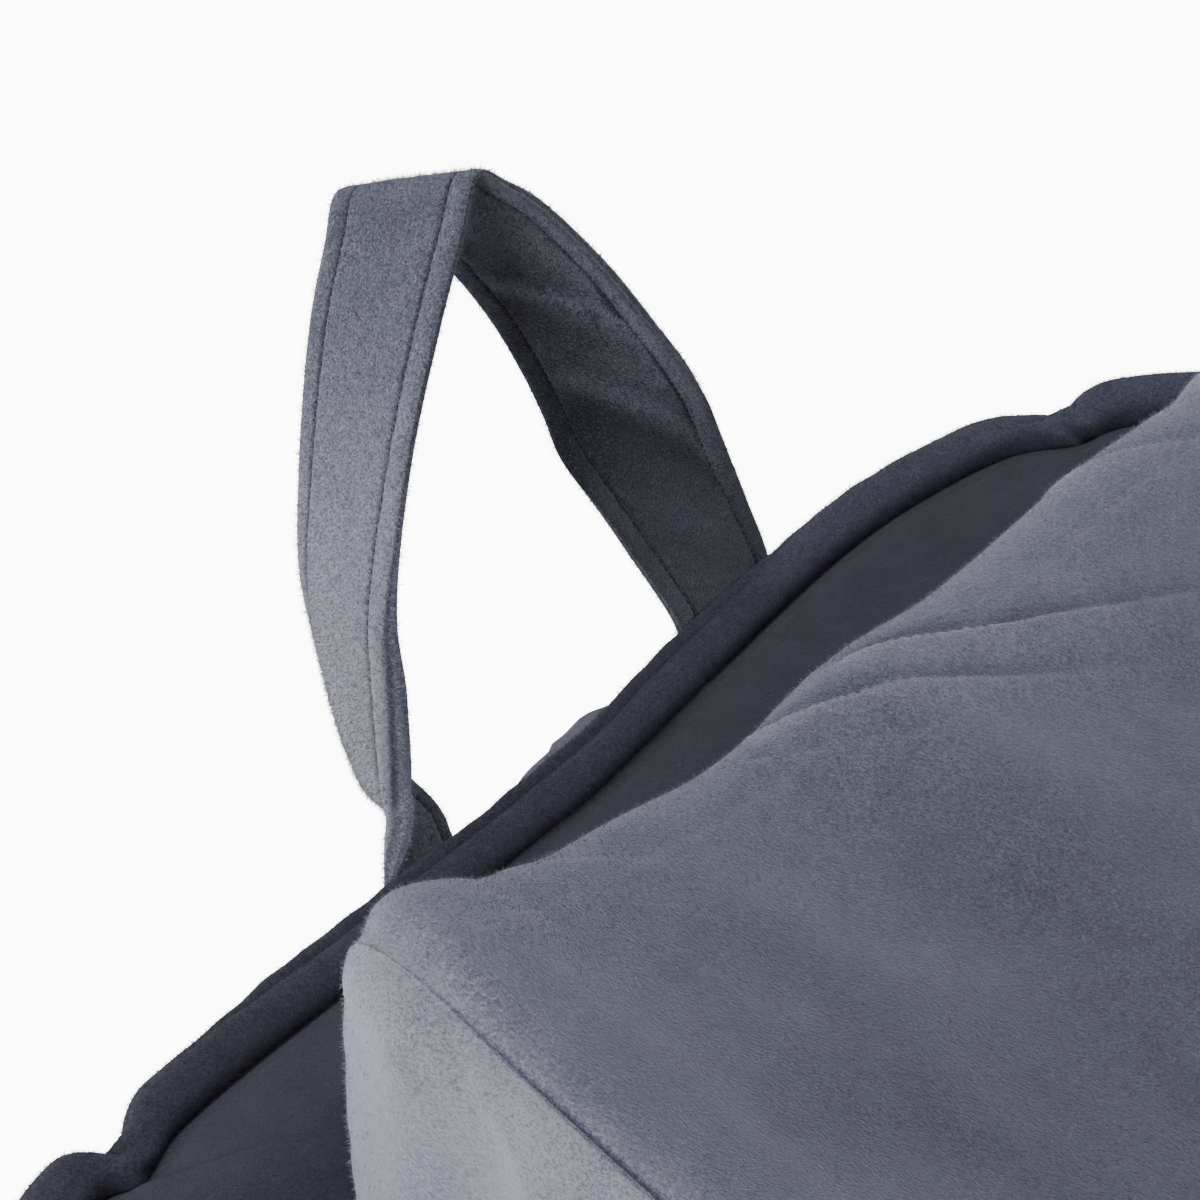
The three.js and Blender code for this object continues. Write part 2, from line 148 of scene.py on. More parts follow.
def ripples(u, v, kind, count=8):
    """Soft unevenness over two coordinates, of a kind given as depth, wave length and seed."""
    depth, length, seed = kind
    dice = np.random.default_rng(seed)
    total = 0
    for _ in range(count):
        angle = dice.uniform(0, 2 * math.pi)
        pitch = length * dice.uniform(0.7, 1.6)
        along = u * math.cos(angle) + v * math.sin(angle)
        total = total + np.sin(along * 2 * math.pi / pitch + dice.uniform(0, 2 * math.pi))
    return depth * total / math.sqrt(count)


def folds(u, v, table):
    """Sum of long folds over a cloth's two coordinates. A fold is strongest at its middle."""
    total = 0
    for u0, v0, u1, v1, width, rise in table:
        run = np.array([u1 - u0, v1 - v0], float)
        along = np.clip(((u - u0) * run[0] + (v - v0) * run[1]) / (run @ run), 0, 1)
        away = np.hypot(u - u0 - along * run[0], v - v0 - along * run[1])
        total = total + rise * (1 - 1.4 * (along - 0.5) ** 2) * bump(away, 0, width)
    return total


def creases(u, v, table, count=25):
    """Sum of sharp creases, where one lap of cloth lies on the next, and their painted light: a painted
    highlight on a crest and painted shade in a valley. Each crease runs along a bent line of three
    points, with its crest on the right hand and its valley on the left, seen from above."""
    total = shade = 0
    valley_width, end_reach, step_width, usual_rise = 4, 6, 0.8, 3
    for u0, v0, u1, v1, u2, v2, width, rise in table:
        t = np.linspace(0, 1, count)[:, None]
        corners = np.array([[u0, v0], [2 * u1 - (u0 + u2) / 2, 2 * v1 - (v0 + v2) / 2], [u2, v2]])
        line = corners[0] * (1 - t) ** 2 + 2 * corners[1] * t * (1 - t) + corners[2] * t ** 2
        run = np.gradient(line, axis=0)
        run /= np.linalg.norm(run, axis=1)[:, None]
        nearest, side, place = np.full(u.shape, np.inf), np.zeros(u.shape), np.zeros(u.shape)
        for k in range(count):
            du, dv = u - line[k, 0], v - line[k, 1]
            away = np.hypot(du, dv)
            closer = away < nearest
            nearest = np.where(closer, away, nearest)
            side = np.where(closer, run[k, 0] * dv - run[k, 1] * du, side)
            place = np.where(closer, k / (count - 1), place)
        fade = smooth(place, 0, 0.1) * (1 - place) ** 0.8
        past_end = np.sqrt(np.maximum(nearest ** 2 - side ** 2, 0))
        strength = fade * np.exp(-(past_end / end_reach) ** 2)
        crest = np.exp(-np.abs(side) / np.where(side > 0, width, valley_width))
        total = total + rise * strength * crest * np.tanh(side / step_width)
        shade_width = np.where(side > 0, 0.6 * width, 3.5)
        shade_depth = np.where(side > 0, 0.45, -1.0)
        shade_here = shade_depth * np.exp(-np.abs(side) / shade_width)
        shade = shade + strength * shade_here * rise / usual_rise
    return total, shade


# Meshes

def outward_normals(rings):
    """Normals of a grid of rings, each closed, that point away from the rings' middles."""
    around = np.roll(rings, -1, 1) - np.roll(rings, 1, 1)
    along = np.gradient(rings, axis=0)
    normals = np.cross(around, along)
    normals /= np.linalg.norm(normals, axis=2, keepdims=True) + 1e-9
    away = rings - rings.mean(1, keepdims=True)
    return normals if (normals * away).sum() > 0 else -normals


def mesh_object(name, points, faces, uvs, painted_light, fuzz, material):
    """A smooth mesh object from points in millimetres, with a UV for each corner of a face and,
    at each point, its painted light, from 0, painted shade, to 1, painted light, and how much pile
    stands out."""
    mesh = bpy.data.meshes.new(name)
    mesh.from_pydata((np.asarray(points) * MM).tolist(), [], faces)
    mesh.uv_layers.new(name="UVMap").uv.foreach_set("vector", np.asarray(uvs, np.float32).ravel())
    for label, values in (("painted_light", painted_light), ("fuzz", fuzz)):
        attribute = mesh.attributes.new(label, "FLOAT", "POINT")
        attribute.data.foreach_set("value", np.asarray(values, np.float32))
    mesh.polygons.foreach_set("use_smooth", np.ones(len(mesh.polygons), bool))
    mesh.materials.append(material)
    mesh.update()
    obj = bpy.data.objects.new(name, mesh)
    bpy.context.scene.collection.objects.link(obj)
    return obj


def loft(name, rings, painted_light, material, ends=None, fuzz=0, zipped=False):
    """A closed surface over rings of points. ends holds the two middle points that close it. A
    zipped surface has its last ring closed across instead, from one side to the other."""
    count, size = rings.shape[:2]
    joined = ends is None
    bands = count if joined else count - 1
    r, i = np.meshgrid(np.arange(bands), np.arange(size), indexing="ij")
    corners = [(r, i), (r, i + 1), (r + 1, i + 1), (r + 1, i)]
    quads = np.stack([(a % count) * size + b % size for a, b in corners], -1).reshape(-1, 4)
    step_along = np.linalg.norm(np.roll(rings, -1, 0) - rings, axis=2).mean(1)
    step_around = np.linalg.norm(np.roll(rings, -1, 1) - rings, axis=2).mean(0)
    u = np.concatenate([[0], np.cumsum(step_along)])
    v = np.concatenate([[0], np.cumsum(step_around)])
    uvs = np.stack([np.stack([u[a], v[b]], -1) for a, b in corners], -2).reshape(-1, 2) * MM
    points = rings.reshape(-1, 3)
    painted_light, fuzz = (np.broadcast_to(value, rings.shape[:2]).ravel() for value in (painted_light, fuzz))
    fans = []
    if not joined:
        first = len(points)
        ends = ends[:1] if zipped else ends
        points = np.vstack([points, ends])
        painted_light = np.append(painted_light, painted_light[[0, -1]][:len(ends)])
        fuzz = np.append(fuzz, np.zeros(len(ends)))
        top = (count - 1) * size
        for j in range(size):
            k = (j + 1) % size
            fans.append((first, k, j))
            if not zipped:
                fans.append((first + 1, top + j, top + k))
            elif j < size // 2:
                fans.append((top + j, top + j + 1, top + size - j - 1))
                if j > 0:
                    fans.append((top + j, top + size - j - 1, top + size - j))
        uvs = np.vstack([uvs, points[np.array(fans).ravel()][:, :2] * MM])
    a, b, c, d = (points[quads[:, k]] for k in range(4))
    volume = (np.cross(a, b) * c).sum() + (np.cross(a, c) * d).sum()
    faces = quads.tolist() + fans
    obj = mesh_object(name, points, faces, uvs, painted_light, fuzz, material)
    if volume < 0:
        obj.data.flip_normals()
    return obj


# Velvet

# Colour of the velvet from painted shade, where the painted light is 0, to painted light, where it is 1
PAINTED_LIGHT_COLOURS = [(0.02, (0.0085, 0.0085, 0.013)), (0.25, (0.019, 0.019, 0.029)),
               (0.5, (0.037, 0.0385, 0.058)), (0.75, (0.073, 0.074, 0.096)),
               (0.99, (0.134, 0.134, 0.153))]
SHEEN_TINT = (0.75, 0.78, 0.95, 1)

# Way in which the pile was stroked, as turns in radians
STROKED = (0, 0.5, -1.3)

# Noise in the pile's tone: scale, detail, roughness, distortion, share of the tone. The scales of
# tufts and specks are for each size of a tuft.
PATCHES = (13, 3, 0.55, 0.5, 0.12)
BRUSHED = (75, 4, 0.6, 0.3, 0.2)
TUFTS = (1, 3, 0.8, 0, 1.3)
SPECKS = (2.6, 2, 0.7, 0, 0.9)

# Relief of the pile: strength, depth in metres, share of the specks
RELIEF_STRENGTH, RELIEF_DEPTH, SPECK_RELIEF = 0.8, 0.0015, 0.6


def velvet(name, sheen, grain, streak, contrast=1.0):
    """Short pile, brushed in patches. grain is the size of a tuft in metres, and streak is how far
    it is drawn out the way the pile was stroked."""
    material = bpy.data.materials.new(name)
    material.use_nodes = True
    nodes, links = material.node_tree.nodes, material.node_tree.links
    shader = nodes["Principled BSDF"]
    shader.inputs["Roughness"].default_value = 0.9
    shader.inputs["Specular IOR Level"].default_value = 0.08
    shader.inputs["Sheen Weight"].default_value = sheen
    shader.inputs["Sheen Roughness"].default_value = 0.4
    shader.inputs["Sheen Tint"].default_value = SHEEN_TINT

    where = nodes.new("ShaderNodeTexCoord").outputs["Object"]
    stretch = nodes.new("ShaderNodeMapping")
    stretch.vector_type = "TEXTURE"
    stretch.inputs["Rotation"].default_value = STROKED
    stretch.inputs["Scale"].default_value = (streak, 1, 1)
    links.new(where, stretch.inputs["Vector"])
    stroked = stretch.outputs["Vector"]

    def noise(source, kind, closeness=1.0):
        node = nodes.new("ShaderNodeTexNoise")
        node.inputs["Scale"].default_value = kind[0] * closeness
        node.inputs["Detail"].default_value = kind[1]
        node.inputs["Roughness"].default_value = kind[2]
        node.inputs["Distortion"].default_value = kind[3]
        links.new(source, node.inputs["Vector"])
        return node.outputs["Fac"]

    def calculate(kind, first, second):
        node = nodes.new("ShaderNodeMath")
        node.operation = kind
        for socket, value in zip(node.inputs, (first, second)):
            if isinstance(value, (int, float)):
                socket.default_value = value
            else:
                links.new(value, socket)
        return node.outputs[0]

    # The colour follows each point's painted light, with tone that differs at random added to it
    painted_light_node = nodes.new("ShaderNodeAttribute")
    painted_light_node.attribute_name = "painted_light"
    tone = painted_light_node.outputs["Fac"]
    tufts, specks = noise(stroked, TUFTS, 1 / grain), noise(stroked, SPECKS, 1 / grain)
    for source, share in ((noise(where, PATCHES), PATCHES[4]), (noise(where, BRUSHED), BRUSHED[4]),
                          (tufts, TUFTS[4] * contrast), (specks, SPECKS[4] * contrast)):
        from_middle = calculate("SUBTRACT", source, 0.5)
        tone = calculate("ADD", tone, calculate("MULTIPLY", from_middle, share))
    ramp = nodes.new("ShaderNodeValToRGB")
    stops = ramp.color_ramp.elements
    for place, colour in PAINTED_LIGHT_COLOURS:
        stops.new(place).color = (*colour, 1)
    stops.remove(stops[-1])
    stops.remove(stops[0])
    links.new(tone, ramp.inputs["Fac"])
    links.new(ramp.outputs["Color"], shader.inputs["Base Color"])

    raised = nodes.new("ShaderNodeBump")
    raised.inputs["Strength"].default_value = RELIEF_STRENGTH
    raised.inputs["Distance"].default_value = RELIEF_DEPTH
    height = calculate("ADD", tufts, calculate("MULTIPLY", specks, SPECK_RELIEF))
    links.new(height, raised.inputs["Height"])
    links.new(raised.outputs["Normal"], shader.inputs["Normal"])
    return material


# The panel and piping copies of this velvet get little sheen so that they look shaded: painted shade
panel_velvet = velvet("panel velvet", 0.06, 0.0009, 1.6, 0.5)
piping_velvet = velvet("piping velvet", 0.06, 0.0009, 1.3, 0.7)
wedge_velvet = velvet("wedge velvet", 0.3, 0.0008, 1.6, 1.05)
strap_velvet = velvet("strap velvet", 0.3, 0.0008, 1.7, 1.6)
thread = velvet("thread", 0, 0.0008, 1, 0.3)


# What Geometry Nodes set out: pile that stands out of the cloth, and rows of stitches

def node_tree(name, values):
    """A Geometry Nodes tree with its first and last node and the identifiers of its inputs."""
    tree = bpy.data.node_groups.new(name, "GeometryNodeTree")
    tree.interface.new_socket("Cloth", in_out="INPUT", socket_type="NodeSocketGeometry")
    identifiers = {}
    for label, value in values.items():
        kind = "NodeSocketInt" if isinstance(value, int) else "NodeSocketFloat"
        socket = tree.interface.new_socket(label, in_out="INPUT", socket_type=kind)
        identifiers[socket.identifier] = value
    tree.interface.new_socket("Made", in_out="OUTPUT", socket_type="NodeSocketGeometry")
    return tree, tree.nodes.new("NodeGroupInput"), tree.nodes.new("NodeGroupOutput"), identifiers


def link_and_finish(tree, links, placed, material, end):
    """Link the nodes, then make the placed instances one mesh with the material and give it out."""
    whole = tree.nodes.new("GeometryNodeRealizeInstances")
    paint = tree.nodes.new("GeometryNodeSetMaterial")
    paint.inputs["Material"].default_value = material
    for source, target in (*links, (placed.outputs["Instances"], whole.inputs["Geometry"]),
                           (whole.outputs["Geometry"], paint.inputs["Geometry"]),
                           (paint.outputs["Geometry"], end.inputs["Made"])):
        tree.links.new(source, target)


def nodes_result(tree, identifiers, mesh):
    """The mesh object that the tree makes from the mesh."""
    source = bpy.data.objects.new(tree.name + " source", mesh)
    bpy.context.scene.collection.objects.link(source)
    modifier = source.modifiers.new("nodes", "NODES")
    modifier.node_group = tree
    for identifier, value in identifiers.items():
        modifier[identifier] = value
    seen = source.evaluated_get(bpy.context.evaluated_depsgraph_get())
    obj = bpy.data.objects.new(tree.name, bpy.data.meshes.new_from_object(seen))
    bpy.data.objects.remove(source)
    bpy.context.scene.collection.objects.link(obj)
    return obj


# Fibres of the pile: thickness as a share of the length, how far they lean, least and most size
FIBRE_THICKNESS, FIBRE_LEAN, FIBRE_SIZES = 0.052, 1.1, (0.5, 1.2)

# Stitches: pitch, length and thickness in metres
STITCH_PITCH, STITCH_LENGTH, STITCH_THICKNESS = 0.003, 0.0021, 0.00042


def pile(cloth, name, density, length, seed):
    """Fibres over the cloth, as dense as its "fuzz" attribute says, each with the cloth's painted
    light.
    """
    tree, start, end, identifiers = node_tree(
        name, {"Density": float(density), "Length": length, "Thickness": length * FIBRE_THICKNESS,
               "Seed": seed})
    add = tree.nodes.new
    scatter, fuzz, times = (add("GeometryNodeDistributePointsOnFaces"),
                            add("GeometryNodeInputNamedAttribute"), add("ShaderNodeMath"))
    fuzz.inputs["Name"].default_value = "fuzz"
    times.operation = "MULTIPLY"
    fibre = add("GeometryNodeMeshCone")
    fibre.fill_type = "NONE"
    fibre.inputs["Vertices"].default_value = 3
    lean, size = add("FunctionNodeRandomValue"), add("FunctionNodeRandomValue")
    lean.data_type, size.data_type = "FLOAT_VECTOR", "FLOAT"
    lean.inputs["Min"].default_value = (-FIBRE_LEAN, -FIBRE_LEAN, -3.14)
    lean.inputs["Max"].default_value = (FIBRE_LEAN, FIBRE_LEAN, 3.14)
    size.inputs[2].default_value, size.inputs[3].default_value = FIBRE_SIZES
    turn, place = add("FunctionNodeRotateRotation"), add("GeometryNodeInstanceOnPoints")
    turn.rotation_space = "LOCAL"
    links = [(start.outputs["Cloth"], scatter.inputs["Mesh"]),
             (start.outputs["Density"], times.inputs[0]),
             (fuzz.outputs["Attribute"], times.inputs[1]),
             (times.outputs[0], scatter.inputs["Density"]),
             (start.outputs["Seed"], scatter.inputs["Seed"]),
             (start.outputs["Seed"], lean.inputs["Seed"]),
             (start.outputs["Seed"], size.inputs["Seed"]),
             (start.outputs["Length"], fibre.inputs["Depth"]),
             (start.outputs["Thickness"], fibre.inputs["Radius Bottom"]),
             (scatter.outputs["Points"], place.inputs["Points"]),
             (scatter.outputs["Rotation"], turn.inputs["Rotation"]),
             (lean.outputs["Value"], turn.inputs["Rotate By"]),
             (turn.outputs["Rotation"], place.inputs["Rotation"]),
             (size.outputs[1], place.inputs["Scale"]),
             (fibre.outputs["Mesh"], place.inputs["Instance"])]
    link_and_finish(tree, links, place, cloth.data.materials[0], end)
    return nodes_result(tree, identifiers, cloth.data)


def stitches(name, rows, material):
    """Stitches along rows of points in millimetres, a set length apart."""
    tree, start, end, identifiers = node_tree(
        name, {"Pitch": STITCH_PITCH, "Length": STITCH_LENGTH, "Thickness": STITCH_THICKNESS})
    add = tree.nodes.new
    curve, spread, place = (add("GeometryNodeMeshToCurve"), add("GeometryNodeResampleCurve"),
                            add("GeometryNodeInstanceOnPoints"))
    spread.mode = "LENGTH"
    tangent, align = add("GeometryNodeInputTangent"), add("FunctionNodeAlignRotationToVector")
    align.axis = "X"
    stitch = add("GeometryNodeMeshUVSphere")
    stitch.inputs["Segments"].default_value, stitch.inputs["Rings"].default_value = 6, 4
    stitch.inputs["Radius"].default_value = 0.5
    size = add("ShaderNodeCombineXYZ")
    links = [(start.outputs["Cloth"], curve.inputs["Mesh"]),
             (curve.outputs["Curve"], spread.inputs["Curve"]),
             (start.outputs["Pitch"], spread.inputs["Length"]),
             (spread.outputs["Curve"], place.inputs["Points"]),
             (tangent.outputs["Tangent"], align.inputs["Vector"]),
             (align.outputs["Rotation"], place.inputs["Rotation"]),
             (stitch.outputs["Mesh"], place.inputs["Instance"]),
             (start.outputs["Length"], size.inputs["X"]),
             (start.outputs["Thickness"], size.inputs["Y"]),
             (start.outputs["Thickness"], size.inputs["Z"]),
             (size.outputs["Vector"], place.inputs["Scale"])]
    link_and_finish(tree, links, place, material, end)
    points = np.concatenate(rows) * MM
    ends = np.cumsum([len(row) for row in rows])
    edges = [(i, i + 1) for i in range(len(points) - 1) if i + 1 not in ends]
    mesh = bpy.data.meshes.new(name + " paths")
    mesh.from_pydata(points.tolist(), edges, [])
    return nodes_result(tree, identifiers, mesh)


# The seam round the pad

HALF_END = PAD_HALF_WIDTH - CORNER_RADIUS
HALF_SIDE = PAD_HALF_LENGTH - CORNER_RADIUS
ARC = CORNER_RADIUS * math.pi / 2
CORNER_STARTS = [HALF_END, HALF_END + ARC + 2 * HALF_SIDE, 3 * HALF_END + 2 * ARC + 2 * HALF_SIDE,
                 3 * HALF_END + 3 * ARC + 4 * HALF_SIDE]
PERIMETER = 4 * (HALF_END + HALF_SIDE + ARC)


def rounded_rectangle(s):
    """Points and outward normals, followed anticlockwise from the middle of the head edge."""
    turned = sum(np.clip((s - start) / ARC, 0, 1) for start in CORNER_STARTS)
    along = s - ARC * turned
    stops = np.cumsum([0, HALF_END, 2 * HALF_SIDE, 2 * HALF_END, 2 * HALF_SIDE, HALF_END])
    x = np.interp(along, stops, [0, -HALF_END, -HALF_END, HALF_END, HALF_END, 0])
    y = np.interp(along, stops, [HALF_SIDE, HALF_SIDE, -HALF_SIDE, -HALF_SIDE, HALF_SIDE, HALF_SIDE])
    angle = math.pi / 2 * (1 + turned)
    normals = np.stack([np.cos(angle), np.sin(angle)], -1)
    return np.stack([x, y], -1) + CORNER_RADIUS * normals, normals


# How far a gather reaches along the straight, and how far the piping's pleats reach in it
GATHER_REACH = 14
PLEAT_REACH = 9


def gathered(s, width=GATHER_REACH):
    """How far the gathers draw the seam in: gently from the straight, sharply at the corner."""
    total = 0
    for corner, end, along, depth, reach in GATHERS:
        outwards = (s - CORNER_STARTS[corner] - end * ARC - along) * (1 if end else -1)
        corner_width = reach * width / GATHER_REACH
        total = total + depth * bump(outwards, 0, np.where(outwards > 0, width, corner_width))
    return total


def fullness(s):
    """1 in the middle of each corner and 0 on the straights."""
    return sum(np.exp(-((s - start - ARC / 2) / (0.42 * ARC)) ** 4) for start in CORNER_STARTS)


def seam(s):
    """The piping's centre line: points, normals and radius at each s."""
    points, normals = rounded_rectangle(s)
    lengthways = points[:, 1] / PAD_HALF_LENGTH
    points[:, 1] += smooth(lengthways, 0.5, 1) * between(HEAD_EDGE, points[:, 0])
    footward = smooth(-lengthways, 0.5, 1)
    points[:, 1] -= footward * FOOT_BOW * np.cos(math.pi * points[:, 0] / PAD_HALF_WIDTH)
    draw = SIDE_DRAW * (1 - lengthways ** 2) * (1 + 0.3 * np.sin(s / 97))
    points[:, 0] *= 1 - draw / PAD_HALF_WIDTH
    pull = gathered(s)
    corner_out, corner_thicker, gather_thinner = 1.5, 0.12, 0.25
    points += normals * (corner_out * fullness(s) - pull)[:, None]
    radius = PIPE_RADIUS * (1 + corner_thicker * fullness(s)) - gather_thinner * pull
    return points, normals, radius


# The pad's cover: underside, boxing, the groove under the piping and the crowned panel

# Section of the underside's rim and the boxing: out from the seam, height
WALL = [(-34, 0), (-18, 0), (-5, 5), (4, 18), (9, 45), (10, 72), (9, 88), (5, 96), (-2, 98), (-7, 99)]
PAD_STATIONS = 960
WALL_RINGS = 34
PANEL_RINGS = 48

# Bulge of the boxing between the feet of the handle: middle, half width, height, half height
BULGE_X, BULGE_HALF_WIDTH, BULGE_Z, BULGE_HALF_HEIGHT = 2, 46, 94, 13
BULGE_OUT, BULGE_UP = 13, 5

# How the panel's edge is puckered: reach of the puckers and of the groove, depth of the groove
PUCKER_REACH, GROOVE_REACH, GROOVE_DEPTH = 16, 7, 3.5

# How far the panel's spine stays off the corners, and how far round the wedge the panel levels out
SPINE_MARGIN = 100
WEDGE_MARGIN = 60

# The pad is pressed down this far inside the wedge's edges
PRESSED_MARGIN = 6


def panel_z(x, y, inward):
    """Height of the top panel, which lies level under the wedge."""
    wave = 2 * np.sin(x / 71) * np.sin(y / 93)
    free = PIPE_Z - 1 + CROWN * (1 - (1 - inward) ** 3) + wave * inward
    across = smooth(WEDGE_HALF_WIDTH + WEDGE_MARGIN - np.abs(x), 0, WEDGE_MARGIN)
    from_middle = np.abs(y - WEDGE_BACK_Y + WEDGE_DEPTH / 2)
    lengthways = smooth(WEDGE_DEPTH / 2 + WEDGE_MARGIN - from_middle, 0, WEDGE_MARGIN)
    return lerp(free, SEAT_Z + 1, across * lengthways)


def pad_wall(s, points, normals, pull):
    """Rings of the underside's rim and the boxing, and the painted light of each."""
    steps = np.linspace(0, len(WALL) - 1, WALL_RINGS)
    out, z = (between(list(enumerate(column)), steps) for column in zip(*WALL))
    by_handle = np.exp(-(np.abs(points[:, 0] - BULGE_X) / BULGE_HALF_WIDTH) ** 2.6)
    by_handle = by_handle * (points[:, 1] > 0)
    rings, ring_painted_lights = [], []
    gather_depth, lower_painted_light = 0.5, 0.3
    for o, h in zip(out, z):
        wave = 1.6 * np.sin(s / 41 + h / 30) + ripples(s, h * 2, WALL_WAVES)
        pleats = smooth(h, 60, 98) * ripples(s, h * 0.3, WALL_PLEATS)
        uneven = smooth(h, 2, 30) * (wave + pleats - gather_depth * pull) * (1 - smooth(h, 94, 99))
        bulge = by_handle * bump(h, BULGE_Z, BULGE_HALF_HEIGHT)
        flattened = pull * smooth(-o, 10, 34)
        ring = points + normals * (o + uneven + flattened + BULGE_OUT * bulge)[:, None]
        rings.append(np.column_stack([ring, max(h, 0) + OFF_FLOOR + BULGE_UP * bulge]))
        # Painted light: a painted highlight along the top of the boxing's bulge by the handle
        upper_painted_light = 0.25 + 0.5 * by_handle * bump(h, 98, 11)
        ring_painted_lights.append(upper_painted_light if h > 70 else np.full(len(s), lower_painted_light))
    return rings, ring_painted_lights


def pad_panel(s, points, normals, radius, pull):
    """Rings of the top panel, from the groove under the piping in to the pad's spine."""
    groove = points - normals * (1.1 * radius)[:, None]
    rings = [np.column_stack([groove, PIPE_Z - 0.4 * radius])]
    edge = points - normals * (1.25 * radius)[:, None]
    spine_end = HALF_SIDE - SPINE_MARGIN
    spine = np.column_stack([np.zeros(len(s)), np.clip(edge[:, 1], -spine_end, spine_end)])
    for inward in np.linspace(0.1, 0.998, PANEL_RINGS) ** 1.9:
        place = lerp(edge, spine, inward)
        distance = np.linalg.norm(place - edge, axis=1)
        x, y = place.T
        puckers = ripples(s, distance * 0.3, PANEL_PUCKERS) + 0.25 * pull
        puckers = puckers * np.exp(-distance / PUCKER_REACH) * smooth(distance, 0, 8)
        swells = smooth(distance, 4, 50) * ripples(x, y, PANEL_SWELLS)
        height = panel_z(x, y, inward) + puckers + swells
        height = height - GROOVE_DEPTH * np.exp(-distance / GROOVE_REACH)
        from_middle = np.abs(y - WEDGE_BACK_Y + WEDGE_DEPTH / 2)
        under_wedge = ((from_middle < WEDGE_DEPTH / 2 - PRESSED_MARGIN)
                       & (np.abs(x) < WEDGE_HALF_WIDTH - PRESSED_MARGIN))
        height = np.where(under_wedge, np.minimum(height, SEAT_Z - 1), height)
        rings.append(np.column_stack([place, height]))
    return rings


def pad_cover():
    """The pad's cover in one closed surface, from the underside up and over to its spine."""
    s = np.linspace(0, PERIMETER, PAD_STATIONS, endpoint=False)
    points, normals, radius = seam(s)
    pull = gathered(s)
    wall, wall_painted_light = pad_wall(s, points, normals, pull)
    rings = np.array(wall + pad_panel(s, points, normals, radius, pull))
    # Painted light on the panel: painted lighter towards the left, on the side of the key light
    right_painted_light, left_painted_light_added = 0.07, 0.1
    painted_light = right_painted_light + left_painted_light_added * smooth(-rings[..., 0], -20, 260)
    painted_light[:len(wall_painted_light)] = wall_painted_light
    middle = np.array([[0, 0, OFF_FLOOR]])
    return loft("pad_cover", rings, painted_light, panel_velvet, middle, zipped=True)


# The piping: a thick roll, and by the handle a second narrow roll along its outer side

# Sections of the double and the single piping: out from the seam, up
ROLL_OUTLINE = [(9.1, 2.6), (8.4, 4.9), (6.3, 5.6), (4.5, 4.4), (3.9, 4.0), (3.4, 5.0), (1.7, 6.5),
                (-1.6, 7.3), (-5, 6.3), (-7.4, 3.9), (-8.2, 0.6), (-7.3, -3), (-4.9, -5.4),
                (-1.2, -6.4), (2.6, -5.4), (5.6, -3), (7.9, 0.2)]
SINGLE_OUTLINE = [(7.9, 1.6), (7.2, 3.6), (6.1, 5.2), (5.2, 6.0), (4.6, 6.5), (4.0, 6.9), (2.2, 7.7),
                  (-1.2, 7.9), (-4.9, 6.4), (-7.3, 3.9), (-8.1, 0.6), (-7.3, -3.2), (-4.9, -6.2),
                  (-1.2, -7.7), (2.6, -7.3), (5.8, -5.2), (7.6, -1.6)]
PIPING_STATIONS = 1400
OUTLINE_POINTS = 34

# Where the piping turns double, from one x to the next, where it turns single again, from which y
# to which it is on the head side, and from which y its pile stands out
TURNS_DOUBLE, TURNS_SINGLE = (-190, -120), (60, 150)
HEAD_SIDE, PILE_SIDE = (480, 560), (440, 520)

# Painted light on the piping: its tone, what is added towards the right, and a painted highlight on its
# top
PIPING_PAINTED_LIGHT, PIPING_RIGHT_PAINTED_LIGHT, PIPING_TOP_HIGHLIGHT = 0.09, 0.18, 0.1


def closed_curve(corners, count):
    """Points on a smooth closed curve through the corners."""
    corners = np.array(corners, float)
    size = len(corners)
    place = np.linspace(0, size, count, endpoint=False)
    i = place.astype(int)
    t = (place - i)[:, None]
    p0, p1, p2, p3 = (corners[(i + k) % size] for k in (-1, 0, 1, 2))
    return 0.5 * (2 * p1 + (p2 - p0) * t + (2 * p0 - 5 * p1 + 4 * p2 - p3) * t ** 2
                  + (3 * p1 - p0 - 3 * p2 + p3) * t ** 3)


def piping_roll():
    """The piping, double on the head side, thinner and pleated where it is gathered."""
    s = np.linspace(0, PERIMETER, PIPING_STATIONS, endpoint=False)
    points, normals, radius = seam(s)
    rolled = closed_curve(ROLL_OUTLINE, OUTLINE_POINTS)
    single = closed_curve(SINGLE_OUTLINE, OUTLINE_POINTS)
    x, y = points.T
    double = smooth(y, *HEAD_SIDE) * smooth(x, *TURNS_DOUBLE) * (1 - smooth(x, *TURNS_SINGLE))
    outline = lerp(single[None], rolled[None], double[:, None, None])
    angle = np.arctan2(outline[..., 1], outline[..., 0])
    lumps = 1 + ripples(s, 0, ROLL_LUMPS)[:, None]
    wrinkles = ripples(s[:, None], angle * 9, ROLL_CREASES)
    pleat_depth, pleat_pitch = 0.14, 2.2
    pleats = pleat_depth * np.sin(angle * 4 + s[:, None] / pleat_pitch)
    pleats = gathered(s, PLEAT_REACH)[:, None] * pleats
    scale = (radius / PIPE_RADIUS)[:, None] * lumps + (wrinkles + pleats) / PIPE_RADIUS
    outline = outline * scale[..., None]
    out, up = outline[..., :1], outline[..., 1]
    plan = points[:, None] + normals[:, None] * out
    rings = np.concatenate([plan, PIPE_Z + up[..., None]], -1)
    fuzz = smooth(y, *PILE_SIDE)[:, None] * (up > -5)
    # Painted light: lighter towards the right, with a painted highlight along the top of the roll
    painted_light = PIPING_PAINTED_LIGHT + PIPING_RIGHT_PAINTED_LIGHT * smooth(x[:, None], -40, 260)
    painted_light = painted_light + PIPING_TOP_HIGHLIGHT * smooth(up, 0, 6)
    return loft("piping_roll", rings, painted_light, piping_velvet, fuzz=fuzz)


# The wedge's cover

